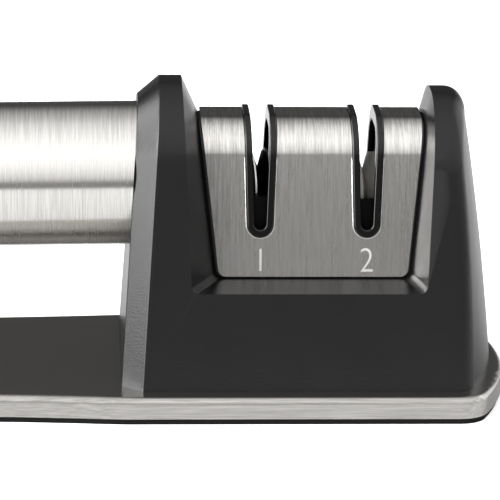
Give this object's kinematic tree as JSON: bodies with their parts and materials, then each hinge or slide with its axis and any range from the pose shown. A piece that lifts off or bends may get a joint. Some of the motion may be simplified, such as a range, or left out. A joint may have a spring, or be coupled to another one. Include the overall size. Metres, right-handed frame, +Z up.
{
  "type": "pull through knife sharpener",
  "caption": "Bench knife sharpener: horizontal tube handle over a flat base, upright head with V slots over turning wheels.",
  "frame": {"origin": "on the surface it stands on, under the middle of the base", "axes": "+X along the handle towards the sharpening head, +Z up, Y is the way the knife is pulled"},
  "size_m": [0.198, 0.0568, 0.0625],
  "materials": {
    "brushed_steel": "brushed",
    "weight_steel": "raw",
    "rubber": "matte",
    "black_abs": "satin",
    "gloss_black": "gloss",
    "inner_abs": "matte",
    "zinc_steel": "plated",
    "coarse_wheel": "ground",
    "fine_ceramic": "fine ground"
  },
  "bodies": {
    "body": {"base_cover": "brushed_steel", "base_core": "weight_steel", "rubber_pad": "rubber", "head_housing": "black_abs", "slot_cover": "brushed_steel", "slot_trim_1": "gloss_black", "slot_trim_2": "gloss_black", "wheel_carrier": "inner_abs", "head_screws": "zinc_steel", "carrier_screws": "zinc_steel", "post_screws": "zinc_steel", "handle_tube": "brushed_steel", "handle_front_plug": "inner_abs", "handle_rear_plug": "inner_abs", "handle_tie_rod": "zinc_steel", "tie_rod_nut": "zinc_steel", "tie_rod_washers": "zinc_steel", "rear_post": "black_abs", "coarse_axle": "zinc_steel", "coarse_wheel_washers": "zinc_steel", "fine_axle": "zinc_steel", "fine_wheel_washers": "zinc_steel"},
    "coarse_left": {"coarse_wheel_left": "coarse_wheel"},
    "coarse_right": {"coarse_wheel_right": "coarse_wheel"},
    "fine_left": {"fine_wheel_left": "fine_ceramic"},
    "fine_right": {"fine_wheel_right": "fine_ceramic"}
  },
  "joints": [
    {"name": "coarse_left_spin", "type": "hinge", "parent": "body", "child": "coarse_left", "pos_m": [0.0493, 0, 0.0408], "axis": [0.9907, 0.1357, 0], "continuous": true},
    {"name": "coarse_right_spin", "type": "hinge", "parent": "body", "child": "coarse_right", "pos_m": [0.0493, 0, 0.0408], "axis": [0.9907, 0.1357, 0], "continuous": true},
    {"name": "fine_left_spin", "type": "hinge", "parent": "body", "child": "fine_left", "pos_m": [0.0703, 0, 0.0401], "axis": [0.9907, 0.1357, 0], "continuous": true},
    {"name": "fine_right_spin", "type": "hinge", "parent": "body", "child": "fine_right", "pos_m": [0.0703, 0, 0.0401], "axis": [0.9907, 0.1357, 0], "continuous": true}
  ]
}
